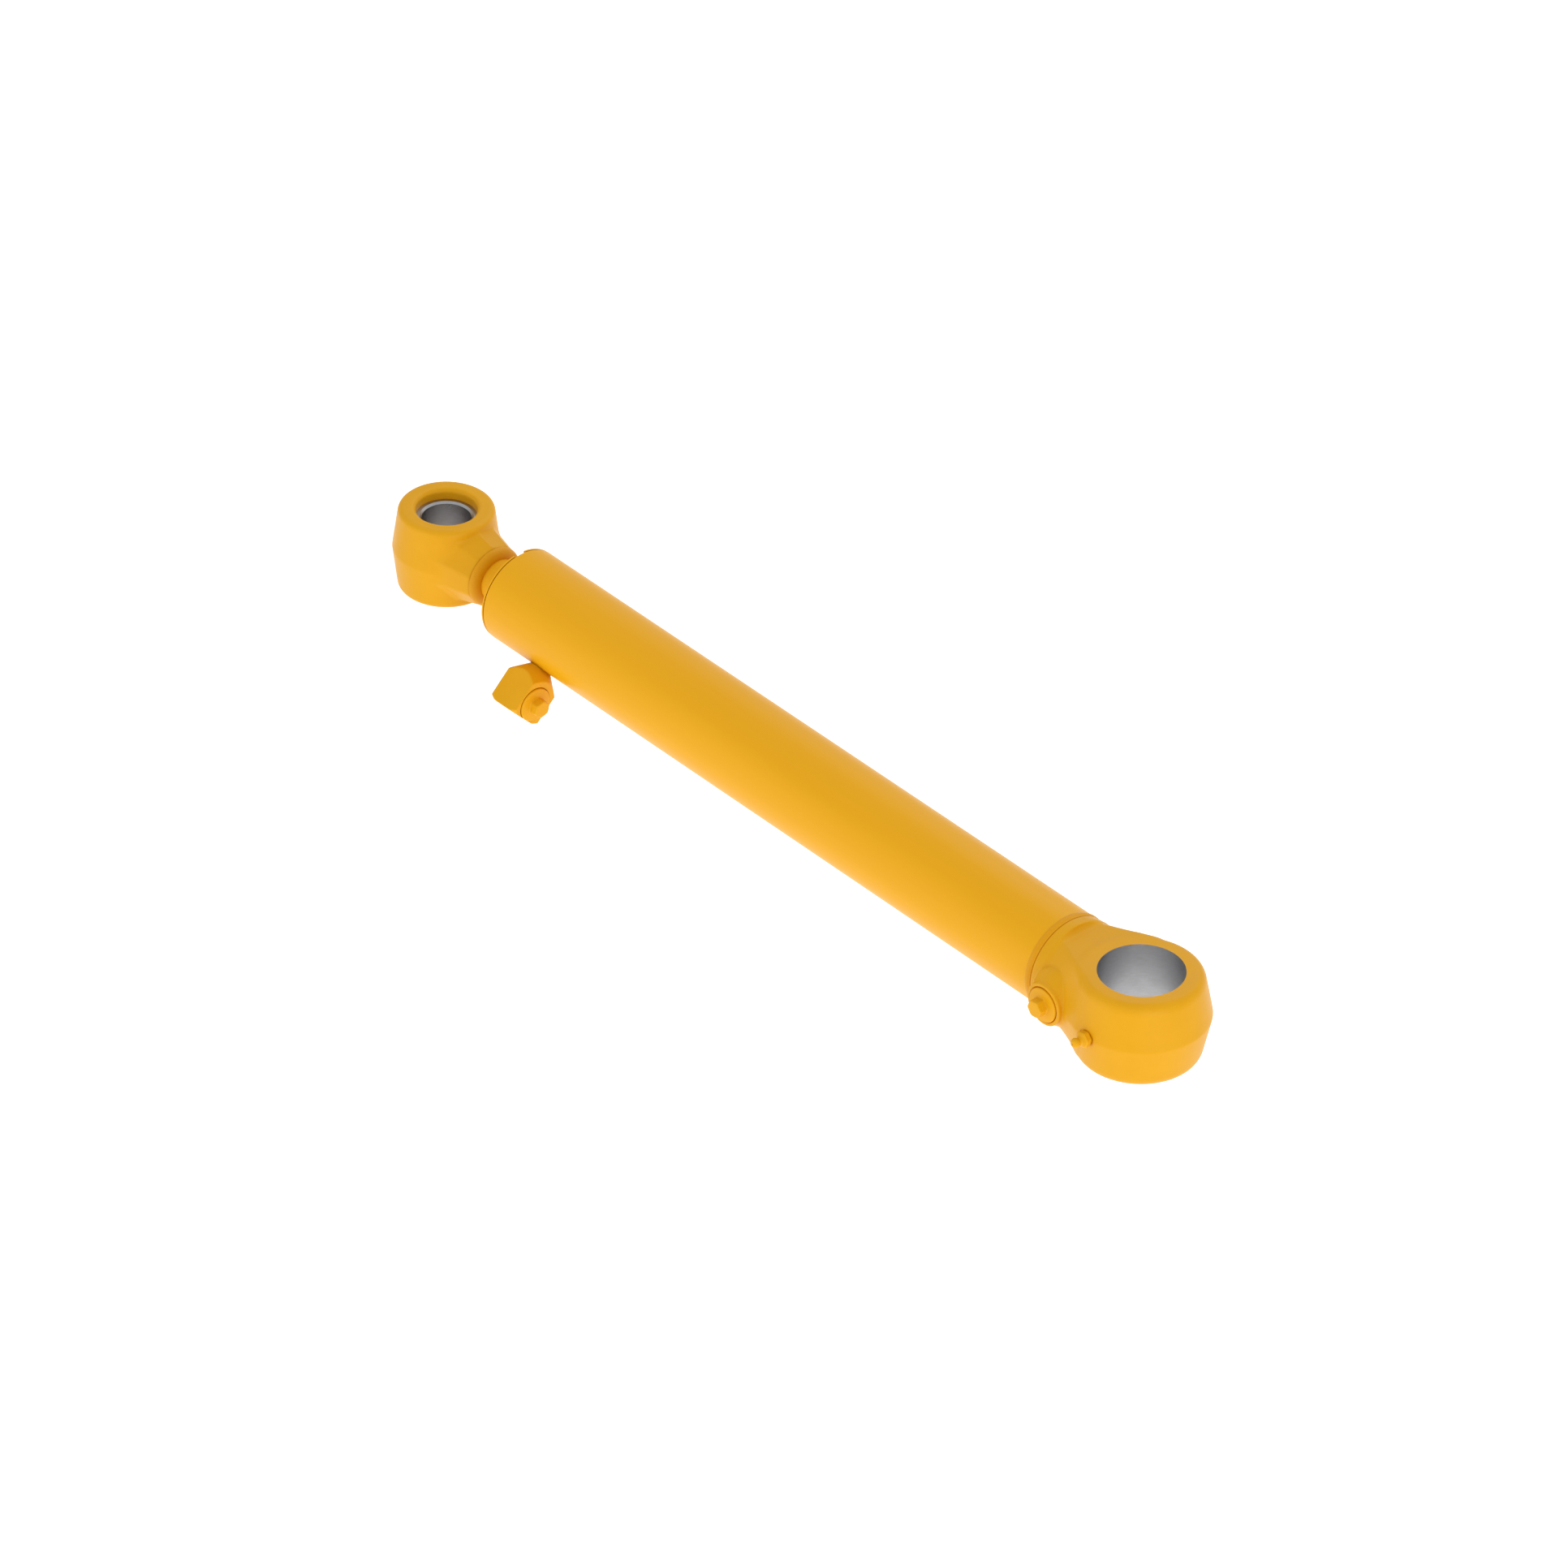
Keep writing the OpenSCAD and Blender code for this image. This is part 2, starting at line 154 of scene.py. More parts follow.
def soft_ramp(x, size):
    """Zero below zero and x above it, with a soft corner."""
    return (soft_abs(x, size) + x + size) / 2


def double_cone(x, y, z, r, half_w, draft, edge):
    """An eye: widest at mid-width, tapering to its two flat faces."""
    side = (np.hypot(x, y) - r + draft * soft_abs(z, 0.6)) / math.hypot(1, draft)
    return smooth_max(side, np.abs(z) - half_w, edge)


def surface(field, low, high, step):
    """Vertices and quads of the surface where the field is zero."""
    axes = [np.arange(a, b + step, step) for a, b in zip(low, high)]
    counts = [len(a) for a in axes]
    grid = np.stack(np.meshgrid(*axes, indexing="ij"), -1)
    f = field(grid[..., 0], grid[..., 1], grid[..., 2])
    f = np.where(f == 0, 1e-9, f)
    cells = tuple(n - 1 for n in counts)
    total, crossings = np.zeros(cells + (3,)), np.zeros(cells)
    edges = []
    for axis in range(3):
        start = tuple(slice(0, -1) if i == axis else slice(None) for i in range(3))
        end = tuple(slice(1, None) if i == axis else slice(None) for i in range(3))
        a, b = f[start], f[end]
        crossed = (a < 0) != (b < 0)
        point = grid[start] + 0.0
        point[..., axis] += step * np.where(crossed, a / np.where(crossed, a - b, 1), 0)
        point[~crossed] = 0
        edges.append((crossed, a < 0))
        others = [i for i in range(3) if i != axis]
        for du in (0, 1):
            for dv in (0, 1):
                part = [slice(None)] * 3
                part[others[0]] = slice(du, du + cells[others[0]])
                part[others[1]] = slice(dv, dv + cells[others[1]])
                total += point[tuple(part)]
                crossings += crossed[tuple(part)]
    active = crossings > 0
    number = np.full(cells, -1)
    number[active] = np.arange(active.sum())
    points = total[active] / crossings[active][:, None]
    quads = []
    for axis, (crossed, outward) in enumerate(edges):
        u, v = (axis + 1) % 3, (axis + 2) % 3
        where = np.argwhere(crossed)
        inside = (where[:, [u, v]] > 0) & (where[:, [u, v]] < np.array(counts)[[u, v]] - 1)
        where = where[inside.all(1)]
        corners = []
        for du, dv in ((1, 1), (0, 1), (0, 0), (1, 0)):
            cell = where.copy()
            cell[:, u] -= du
            cell[:, v] -= dv
            corners.append(number[tuple(cell.T)])
        quad = np.stack(corners, 1)
        flip = ~outward[tuple(where.T)]
        quad[flip] = quad[flip][:, ::-1]
        quads.append(quad)
    nudge = 0.01
    for _ in range(4):
        value = field(*points.T)
        ahead = [field(*(points + nudge * axis).T) for axis in np.eye(3)]
        behind = [field(*(points - nudge * axis).T) for axis in np.eye(3)]
        slope = np.stack([(a - b) / (2 * nudge) for a, b in zip(ahead, behind)], 1)
        push = value / np.maximum((slope * slope).sum(1), 0.2)
        points = points - slope * np.clip(push, -step, step)[:, None]
    return points, np.concatenate(quads)


def make_object(name, points, faces, smooth=True):
    """A mesh object from points in millimetres."""
    mesh = bpy.data.meshes.new(name)
    if isinstance(faces, np.ndarray):
        faces = faces.tolist()
    mesh.from_pydata((np.asarray(points) * MM).tolist(), [], faces)
    mesh.update()
    mesh.polygons.foreach_set("use_smooth", [smooth] * len(mesh.polygons))
    obj = bpy.data.objects.new(name, mesh)
    bpy.context.scene.collection.objects.link(obj)
    return obj


def turned(profile, turn, segments=160):
    """Points and faces of a solid turned from [radius, height] points, then placed by a matrix."""
    angles = np.linspace(0, 2 * math.pi, segments, endpoint=False)
    rings, faces = [], []
    for r, h in profile:
        rings.append(np.stack([r * np.cos(angles), r * np.sin(angles), np.full(segments, h)], 1))
    points = np.concatenate(rings)
    for ring in range(len(profile) - 1):
        for i in range(segments):
            a, b = ring * segments + i, ring * segments + (i + 1) % segments
            faces.append((a, b, b + segments, a + segments))
    faces.append(tuple(range(segments))[::-1])
    faces.append(tuple(len(points) - segments + i for i in range(segments)))
    return placed(points, turn), faces


def hoop(profile, segments):
    """A closed ring about X from [radius, x] corners."""
    count = len(profile)
    points, faces = [], []
    for i in range(segments):
        angle = 2 * math.pi * i / segments
        points += [[x, r * math.cos(angle), r * math.sin(angle)] for r, x in profile]
        for j in range(count):
            a, b = i * count + j, i * count + (j + 1) % count
            c, d = (a + count) % (segments * count), (b + count) % (segments * count)
            faces.append((a, b, d, c))
    return np.array(points), faces


def cut(obj, points, faces):
    """Cuts a solid out of obj, with crisp machined edges."""
    cutter = make_object("cutter", points, faces, smooth=False)
    tool = obj.modifiers.new("cut", "BOOLEAN")
    tool.operation = "DIFFERENCE"
    tool.solver = "EXACT"
    tool.object = cutter
    graph = bpy.context.evaluated_depsgraph_get()
    made = bpy.data.meshes.new_from_object(obj.evaluated_get(graph))
    obj.modifiers.clear()
    obj.data = made
    bpy.data.objects.remove(cutter)


def finish_piece(obj, body, nodes, materials, crisp=35):
    made = obj.data
    made.polygons.foreach_set("use_smooth", [True] * len(made.polygons))
    made.set_sharp_from_angle(angle=math.radians(crisp))
    made.materials.clear()
    for material in materials:
        made.materials.append(material)
    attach(obj, body)
    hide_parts(*nodes)


def along(origin, direction, turn=0):
    """A matrix that puts a part drawn upwards along +Z onto that axis, after a turn in degrees."""
    up = Vector(direction).normalized().to_track_quat("Z", "Y").to_matrix().to_4x4()
    return Matrix.Translation(origin) @ up @ Matrix.Rotation(math.radians(turn), 4, "Z")


def placed(points, matrix):
    """Points moved by a matrix in millimetres."""
    m = np.array(matrix)
    return points @ m[:3, :3].T + m[:3, 3]


base_port = along((BASE_PORT_X, -BASE_PORT_Y, 0), (0, -1, 0))
head_port = along(Vector((HEAD_PORT_X, 0, 0)) + Vector(OUTWARD) * PORT_OUT, (1, 0, 0))


def port_hole(gap, mouth):
    """A plug's seat: a gap round its flange, a bevelled mouth, an O-ring pocket and a thread."""
    seat_r = PLUG_R + gap
    thread = [[THREAD_R, -THREAD_DEPTH], [THREAD_R, -POCKET_DEPTH]]
    pocket = [[POCKET_R, -POCKET_DEPTH], [POCKET_R, -SEAT_DEPTH]]
    return thread + pocket + [[seat_r, -SEAT_DEPTH], [seat_r, -mouth], [seat_r + mouth + 3, 3]]


# ---- base eye ----

BASE_R = BASE_HIGH[0]
BASE_HALF_W = mount("base_pin_bore")["dims"]["length_mm"] / 2
BASE_DRAFT = 0.2
BASE_EDGE = 8.4
NECK_END = -73
WEB_START = -68.5
WEB_INSET = 0.4
WEB_FALL = 0.08
BOSS_R = PLUG_R + 3.4
BOSS_DEPTH = 24
# The boss widens at this slope between these depths below its face
FOOT_SLOPE = 0.68
FOOT_START = 3.5
FOOT_END = 14


def base_eye_field(x, y, z):
    drum = double_cone(x, y, z, BASE_R, BASE_HALF_W, BASE_DRAFT, BASE_EDGE)
    round_r = np.hypot(y, z)
    # At each height the web's sides run straight from the neck's round edge
    # to where they touch the drum
    round_edge = np.sqrt(np.maximum(TUBE_R ** 2 - z * z, 1))
    web_r = BASE_R - WEB_INSET - BASE_DRAFT * soft_abs(z, 0.6)
    reach = np.hypot(WEB_START, round_edge)
    lean = np.arctan2(-WEB_START, round_edge) - np.arccos(web_r / reach)
    side = np.cos(lean) * np.abs(y) - np.sin(lean) * x - web_r
    face = np.abs(z) - BASE_HALF_W + WEB_FALL * soft_ramp(-BASE_BORE_R - x, 2)
    web = smooth_max(side, face, 2.4 + 6.4 * np.clip((x + 38) / 16, 0, 1))
    web = smooth_max(web, x + web_r * np.sin(lean), 5)
    web = np.maximum(web, NECK_END - 2 - x)
    neck = np.maximum(x - NECK_END - 1.5, BASE_WELD_X[1] - 2 - x)
    neck = smooth_max(round_r - TUBE_R, neck, 1.2)
    deep = y + BASE_PORT_Y
    foot = FOOT_SLOPE * (soft_ramp(deep - FOOT_START, 1.5) - soft_ramp(deep - FOOT_END, 1.5))
    boss = (np.hypot(x - BASE_PORT_X, z) - BOSS_R - foot) / 1.15
    boss = smooth_max(boss, np.maximum(-deep, deep - BOSS_DEPTH), 1.2)
    eye = smooth_max(smooth_min(drum, web, 3), np.abs(z) - BASE_HALF_W, 0.6)
    body = smooth_min(smooth_min(eye, neck, 6), boss, 1.3)
    spigot = np.maximum(round_r - TUBE_R + 8.6, np.maximum(BASE_LOW[0] - x, x - NECK_END))
    return np.minimum(body, spigot)


def make_base_eye(paint):
    points, faces = surface(base_eye_field, BASE_LOW - 2, BASE_HIGH + 2, 1)
    eye = make_object("base_eye_forging", points, faces)
    lead = 0.3
    top = BASE_HALF_W
    r = BASE_BORE_R
    bore = [[r + lead + 1, -top - 1], [r, -top + lead], [r, top - lead], [r + lead + 1, top + 1]]
    cut(eye, *turned(bore, Matrix.Identity(4), 256))
    cut(eye, *turned(port_hole(0.05, 0.9), base_port))
    spot_face = [[4.1, -12], [4.1, 0], [7.6, 0], [7.6, 8]]
    cut(eye, *turned(spot_face, along((0, -GREASE_SEAT, 0), (0, -1, 0)), 96))
    groove = BASE_WELD_X[1] + 0.9
    notch = [[TUBE_R - 0.9, groove], [TUBE_R + 1, groove + 1.3], [TUBE_R + 1, groove - 1.3]]
    cut(eye, *hoop(notch, 200))
    finish_piece(eye, "barrel", ["base_eye"], [paint])


# ---- grease fitting ----

GREASE_HEX = 12
GREASE_H = GREASE_TIP - GREASE_SEAT
NUT_H = 6
STEM_R = 3.1
NIPPLE_R = 4
NIPPLE_H = 5.2
NIPPLE_HOLE_R = 0.5
SCREW_R = 4
SCREW_DEPTH = 7.4


def hexagon(x, y, flats, edge):
    """Distance to a hexagon's sides, with softened corners."""
    turns = (0, math.pi / 3, -math.pi / 3)
    sides = [np.abs(x * math.sin(a) + y * math.cos(a)) - flats / 2 for a in turns]
    return smooth_max(smooth_max(sides[0], sides[1], edge), sides[2], edge)


def fitting_field(x, y, z):
    """Drawn upwards from its seat at z = 0."""
    r = np.hypot(x, y)
    tip = GREASE_H
    nut = smooth_max(hexagon(x, y, GREASE_HEX, 1.2), np.maximum(z - NUT_H, -z), 1.4)
    nut = smooth_max(nut, (r + 0.9 * z - 11.4) / 1.35, 0.8)
    foot = (r + (z - NUT_H) * 1.1 - 4.9) / 1.5
    foot = np.maximum(foot, np.maximum(5 - z, z - 8.4))
    stem = np.maximum(r - STEM_R, np.maximum(z - tip + 2, 1 - z))
    head = smooth_max(r - NIPPLE_R, np.maximum(tip - NIPPLE_H - z, z - tip), 1.8)
    head = smooth_max(head, (r + (z - tip) * 0.9 - 2.5) / 1.35, 1.2)
    screw = np.maximum(r - SCREW_R, np.maximum(-SCREW_DEPTH - z, z - 2))
    body = smooth_min(smooth_min(nut, foot, 1.4), smooth_min(stem, head, 1), 1)
    body = np.minimum(body, screw)
    return smooth_max(body, -np.maximum(r - NIPPLE_HOLE_R, tip - 0.6 - z), 0.4)


def make_grease_fitting(paint):
    half = GREASE_HEX * 0.6 + 0.5
    points, faces = surface(fitting_field, (-half, -half, -8), (half, half, GREASE_H + 0.5), 0.28)
    points = placed(points, along((0, -GREASE_SEAT, 0), (0, -1, 0), 12))
    fitting = make_object("grease_nipple", points, faces)
    finish_piece(fitting, "barrel", ["grease_fitting"], [paint], 180)


SPRING_WIRE_R = 0.18
SPRING_TURNS = 7


def make_grease_spring(steel):
    """A helix in place of the CAD's separate coils."""
    low, high = node_box("grease_spring")
    coil_r = high[0] - SPRING_WIRE_R
    travel = high[1] - low[1] - 2 * SPRING_WIRE_R
    steps, sides = SPRING_TURNS * 28, 8
    points, faces = [], []
    for i in range(steps + 1):
        angle = 2 * math.pi * SPRING_TURNS * i / steps
        y = high[1] - SPRING_WIRE_R - travel * i / steps
        for j in range(sides):
            round_wire = 2 * math.pi * j / sides
            r = coil_r + SPRING_WIRE_R * math.cos(round_wire)
            height = y - SPRING_WIRE_R * math.sin(round_wire)
            points.append([r * math.cos(angle), height, r * math.sin(angle)])
    for i in range(steps):
        for j in range(sides):
            a, b = i * sides + j, i * sides + (j + 1) % sides
            faces.append((a, a + sides, b + sides, b))
    faces.append(tuple(range(sides)))
    faces.append(tuple(steps * sides + j for j in reversed(range(sides))))
    spring = make_object("grease_helix", points, faces)
    finish_piece(spring, "barrel", ["grease_spring"], [steel], 60)
    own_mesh(spring)


# ---- port plugs ----

PLUG_HEX = 13.4
SHANK_R = 10.5
SHANK_DEPTH = 13
CROWN_SLOPE = 0.12
# How far each plug's hex is turned, in degrees
BASE_HEX_TURN = 8
HEAD_HEX_TURN = 18


def plug_field(x, y, z):
    """Drawn upwards from the port's face at z = 0."""
    r = np.hypot(x, y)
    head = smooth_max(hexagon(x, y, PLUG_HEX, 0.9), np.maximum(z - PLUG_TOP, -z), 0.9)
    head = smooth_max(head, (r + 1.5 * (z - PLUG_TOP) - 7.1) / 1.8, 0.8)
    crown = (z - PLUG_PROUD - CROWN_SLOPE * (PLUG_R - r)) / math.hypot(1, CROWN_SLOPE)
    flange = smooth_max(r - PLUG_R, np.maximum(crown, -SEAT_DEPTH - z), 1)
    shank = np.maximum(r - SHANK_R, np.maximum(-SHANK_DEPTH - z, z))
    return np.minimum(smooth_min(head, flange, 1.2), shank)


def make_plugs(paint):
    half = PLUG_R + 0.8
    low, high = (-half, -half, -SHANK_DEPTH - 0.5), (half, half, PLUG_TOP + 0.6)
    points, faces = surface(plug_field, low, high, 0.45)
    all_points, all_faces = [], []
    for place, turn in ((base_port, BASE_HEX_TURN), (head_port, HEAD_HEX_TURN)):
        all_faces.append(faces + len(points) * len(all_points))
        all_points.append(placed(points, place @ Matrix.Rotation(math.radians(turn), 4, "Z")))
    plugs = make_object("hex_plugs", np.concatenate(all_points), np.concatenate(all_faces))
    finish_piece(plugs, "barrel", ["port_plugs"], [paint], 180)


# ---- head port block ----

NECK_R = 9.6
# Distances from the barrel's axis: the neck's ends, in the tube's wall and in the block, and
# where the block starts to widen from its neck
BLOCK_ROOT = 34
NECK_TOP = 44
CONE_START = 40.4
# Radius per millimetre of height, of that cone and of the chamfer at the far face
CONE_SLOPE = 0.971
CHAMFER_SLOPE = 1.452
FAR_FACE_R = 17.8


def block_field(x, w, out):
    """x along the barrel, w across, out away from the barrel's axis."""
    turn_r = np.hypot(x, w)
    from_barrel = np.hypot(w, out)
    box = smooth_max(np.abs(x) - BLOCK_HALF_X, np.abs(w) - BLOCK_HALF_W, 0.6)
    box = smooth_max(box, out - BLOCK_LOW, 0.6)
    cone = (turn_r - NECK_R - CONE_SLOPE * (out - CONE_START)) / math.hypot(1, CONE_SLOPE)
    chamfer_r = FAR_FACE_R + CHAMFER_SLOPE * (BLOCK_LOW - out)
    chamfer = (turn_r - chamfer_r) / math.hypot(1, CHAMFER_SLOPE)
    block = smooth_max(smooth_max(box, cone, 0.7), chamfer, 0.6)
    undercut = 1.2 * (from_barrel < TUBE_R + 0.9)
    neck = np.maximum(turn_r - NECK_R + undercut, out - NECK_TOP)
    return np.maximum(smooth_min(block, neck, 0.6), BLOCK_ROOT - out)


def make_block(paint):
    low = (-BLOCK_HALF_X - 1.2, -BLOCK_HALF_W - 1.2, BLOCK_ROOT - 1)
    high = (BLOCK_HALF_X + 1.2, BLOCK_HALF_W + 1.2, BLOCK_LOW + 1.2)
    points, faces = surface(block_field, low, high, 0.45)
    points = points @ np.stack([[1, 0, 0], SIDEWAYS, OUTWARD]) + [BLOCK_X, 0, 0]
    block = make_object("port_block", points, faces)
    cut(block, *turned(port_hole(0.3, 0.4), head_port))
    nodes = ["head_port_block", "head_block_weld"]
    finish_piece(block, "barrel", nodes, [paint])


# ---- rod eye ----

ROD_EYE_R = ROD_PIN_X - ROD_EYE_LOW[0]
ROD_HALF_W = ROD_EYE_HIGH[2]
ROD_DRAFT = 0.13
COLLAR_X = ROD_EYE_HIGH[0]
COLLAR_R = 25.6
NECK_SLOPE = 0.24
NECK_FLATS = 10


def rod_eye_field(x, y, z):
    drum = double_cone(x - ROD_PIN_X, y, z, ROD_EYE_R, ROD_HALF_W, ROD_DRAFT, 4.5)
    reach = COLLAR_X - x
    corner_r = COLLAR_R + 0.6 + NECK_SLOPE * reach
    half_flat = math.pi / NECK_FLATS
    flat_r = corner_r * math.cos(half_flat)
    neck = -1e3
    for i in range(NECK_FLATS):
        angle = (2 * i + 1) * half_flat
        neck = smooth_max(neck, z * math.cos(angle) + y * math.sin(angle) - flat_r, 0.8)
    neck = neck / math.hypot(1, NECK_SLOPE)
    neck = np.maximum(neck, ROD_PIN_X - x)
    neck = smooth_max(neck, x - COLLAR_X, 2.4)
    pin_r = np.hypot(x - ROD_PIN_X, y)
    lead_in = (pin_r - BUSH_R - 2.4 + ROD_HALF_W - np.abs(z)) / math.sqrt(2)
    bore = smooth_min(pin_r - BUSH_R, lead_in, 0.6)
    return smooth_max(smooth_min(drum, neck, 2.4), -bore, 0.7)


def make_rod_eye(paint):
    points, faces = surface(rod_eye_field, ROD_EYE_LOW - 2, ROD_EYE_HIGH + 2, 1)
    eye = make_object("rod_eye_forging", points, faces)
    finish_piece(eye, "rod", ["rod_eye"], [paint])


# ---- weld beads ----


def bead(name, body, node, profile, ripples, depth, paint):
    """A weld bead about X, from [radius, x] points, with ripples that lean back at both sides."""
    per_ripple = 8
    around = ripples * per_ripple
    x0, x1 = profile[0][1], max(x for r, x in profile)
    points, faces = [], []
    rng = np.random.default_rng(7)
    knots = np.append(rng.uniform(-1, 1, 24), 0)
    drift = np.interp(np.arange(around), np.linspace(0, around, len(knots)), knots)
    count = len(profile)
    for i in range(around):
        angle = 2 * math.pi * i / around
        for r, x in profile:
            s = np.clip((x - x0) / (x1 - x0) * 2 - 1, -1, 1)
            wave = math.cos(2 * math.pi * (i / per_ripple + 0.9 * s * s))
            lift = depth * (1 - s * s) * (wave + drift[i])
            points.append([x, (r + lift) * math.cos(angle), (r + lift) * math.sin(angle)])
    for i in range(around):
        n = (i + 1) % around
        for j in range(count):
            k = (j + 1) % count
            faces.append((i * count + j, n * count + j, n * count + k, i * count + k))
    obj = make_object(name, points, faces)
    finish_piece(obj, body, [node], [paint], 60)


def make_welds(paint):
    x0, x1 = BASE_WELD_X
    arc = []
    for t in np.linspace(0, 1, 16):
        r = TUBE_R - 0.2 + 0.85 * math.sin(math.pi * t) ** 0.8
        arc.append([r, x0 - 0.4 + (x1 - x0 + 0.4) * t])
    root = [[TUBE_R - 4, x1 - 1.5], [TUBE_R - 4, x0 + 2]]
    bead("base_weld_bead", "barrel", "base_weld", arc + root, 90, 0.03, paint)
    x0, x1 = COLLAR_X, ROD_WELD_X[1] - 1.2
    arc = []
    for t in np.linspace(0, 1, 16):
        r = ROD_R - 0.3 + (COLLAR_R + 0.4 - ROD_R) * math.cos(t * math.pi / 2) ** 0.8
        arc.append([r, x0 + (x1 - x0) * math.sin(t * math.pi / 2)])
    root = [[ROD_R - 0.3, x1 - 1.6], [ROD_R - 0.3, x0 + 3]]
    bead("rod_weld_bead", "rod", "rod_eye_weld", arc + root, 60, 0.04, paint)


# ---- materials ----


def new_material(name):
    material = bpy.data.materials.new(name)
    material.use_nodes = True
    nodes = material.node_tree.nodes
    return material, nodes, material.node_tree.links, nodes["Principled BSDF"]


def texture(nodes, links, kind, scale, stretch=(1, 1, 1), **values):
    """A procedural texture in the object's own coordinates, stretched along its axes."""
    coordinates = nodes.new("ShaderNodeTexCoord")
    mapping = nodes.new("ShaderNodeMapping")
    mapping.inputs["Scale"].default_value = stretch
    made = nodes.new(kind)
    made.inputs["Scale"].default_value = scale
    for key, value in values.items():
        made.inputs[key].default_value = value
    links.new(coordinates.outputs["Object"], mapping.inputs["Vector"])
    links.new(mapping.outputs["Vector"], made.inputs["Vector"])
    return made


def ramp(nodes, links, source, stops):
    """Colours from a value, between two (place, colour) stops."""
    made = nodes.new("ShaderNodeValToRGB")
    for element, (place, colour) in zip(list(made.color_ramp.elements), stops):
        element.position = place
        element.color = colour
    links.new(source, made.inputs["Fac"])
    return made.outputs["Color"]


def level(low, high, nodes, links, source):
    """A value between low and high, from a texture's 0.3 to 0.7."""
    made = nodes.new("ShaderNodeMapRange")
    for key, value in (("From Min", 0.3), ("From Max", 0.7), ("To Min", low), ("To Max", high)):
        made.inputs[key].default_value = value
    links.new(source, made.inputs["Value"])
    return made.outputs["Result"]


def mix(nodes, links, a, b, factor, blend="MIX"):
    made = nodes.new("ShaderNodeMix")
    made.data_type = "RGBA"
    made.blend_type = blend
    for socket, value in ((made.inputs[6], a), (made.inputs[7], b), (made.inputs[0], factor)):
        if isinstance(value, bpy.types.NodeSocket):
            links.new(value, socket)
        else:
            socket.default_value = value
    return made.outputs[2]


def bump(nodes, links, shader, layers):
    """Bump from several textures: (output, strength, depth in metres)."""
    normal = None
    for source, strength, depth in layers:
        made = nodes.new("ShaderNodeBump")
        made.inputs["Strength"].default_value = strength
        made.inputs["Distance"].default_value = depth
        links.new(source, made.inputs["Height"])
        if normal:
            links.new(normal, made.inputs["Normal"])
        normal = made.outputs["Normal"]
    links.new(normal, shader.inputs["Normal"])


YELLOW = (0.70, 0.335, 0.004)
PALE = (0.74, 0.360, 0.007)
# DEEP is the deep orange of the painted shade where surfaces meet; dust also mixes some of it into
# open surfaces.
DEEP = (0.64, 0.240, 0.001)
BARE_STEEL = (0.46, 0.46, 0.47)
CHROME = (0.60, 0.60, 0.61)


def paint_material(
    name, grain=0.25, shade_reach=0.02, rough=0.38, dust=0.0, painted_light_gain=1.0, stretch=(1, 1, 1)
):
    """Semi-gloss yellow paint with faint mottling and orange peel, and painted shade: deep orange
    where surfaces meet.
    """
    material, nodes, links, shader = new_material(name)
    mottle = texture(nodes, links, "ShaderNodeTexNoise", 22, stretch, Detail=4, Roughness=0.6)
    # A gain above 1 brightens this copy of the paint: painted light.
    low, high = ([c * painted_light_gain for c in colour] for colour in (YELLOW, PALE))
    base = ramp(nodes, links, mottle.outputs["Fac"], [(0.3, (*low, 1)), (0.7, (*high, 1))])
    # Painted shade: ambient occlusion, speckled by fine noise, turns the paint deep orange where
    # surfaces meet.
    near = nodes.new("ShaderNodeAmbientOcclusion")
    near.samples = 8
    near.inputs["Distance"].default_value = shade_reach
    speck = texture(nodes, links, "ShaderNodeTexNoise", 900, Detail=3, Roughness=0.7)
    shade_speckle_mask = nodes.new("ShaderNodeMath")
    shade_speckle_mask.operation = "MULTIPLY_ADD"
    shade_speckle_mask.inputs[1].default_value = 0.5
    links.new(speck.outputs["Fac"], shade_speckle_mask.inputs[0])
    links.new(near.outputs["AO"], shade_speckle_mask.inputs[2])
    # Full deep orange where the occlusion is deep, which is the painted shade; open surfaces take
    # only as much as dust gives.
    stops = [(0.55, (1, 1, 1, 1)), (1.0, (dust, dust, dust, 1))]
    painted_shade_ramp = ramp(nodes, links, shade_speckle_mask.outputs[0], stops)
    to_value = nodes.new("ShaderNodeRGBToBW")
    links.new(painted_shade_ramp, to_value.inputs[0])
    shade = mix(nodes, links, base, (*DEEP, 1), to_value.outputs[0])
    links.new(shade, shader.inputs["Base Color"])
    smudge = texture(nodes, links, "ShaderNodeTexNoise", 45, stretch, Detail=5, Roughness=0.6)
    sheen = level(rough - 0.05, rough + 0.07, nodes, links, smudge.outputs["Fac"])
    links.new(sheen, shader.inputs["Roughness"])
    peel = texture(nodes, links, "ShaderNodeTexNoise", 420, Detail=2)
    fine = texture(nodes, links, "ShaderNodeTexNoise", 1800, Detail=2)
    layers = [(peel.outputs["Fac"], grain, 0.0002), (fine.outputs["Fac"], grain, 0.00006)]
    bump(nodes, links, shader, layers)
    shader.inputs["Specular IOR Level"].default_value = 0.14
    return material


def show_metal(material, place, edge, width, colour, rough, contrast):
    """Bare metal on a painted piece, where place(nodes, links) is below edge (in metres)."""
    nodes, links = material.node_tree.nodes, material.node_tree.links
    coated = nodes["Principled BSDF"]
    metal = nodes.new("ShaderNodeBsdfPrincipled")
    machined(nodes, links, metal, colour, rough, contrast)
    bare = nodes.new("ShaderNodeMapRange")
    limits = (("From Min", edge), ("From Max", edge + width), ("To Min", 1), ("To Max", 0))
    for key, value in limits:
        bare.inputs[key].default_value = value
    links.new(place(nodes, links), bare.inputs["Value"])
    both = nodes.new("ShaderNodeMixShader")
    links.new(bare.outputs["Result"], both.inputs[0])
    links.new(coated.outputs[0], both.inputs[1])
    links.new(metal.outputs[0], both.inputs[2])
    links.new(both.outputs[0], nodes["Material Output"].inputs["Surface"])


def part_coordinate(nodes, links):
    coordinates = nodes.new("ShaderNodeTexCoord")
    split = nodes.new("ShaderNodeSeparateXYZ")
    links.new(coordinates.outputs["Object"], split.inputs[0])
    return split


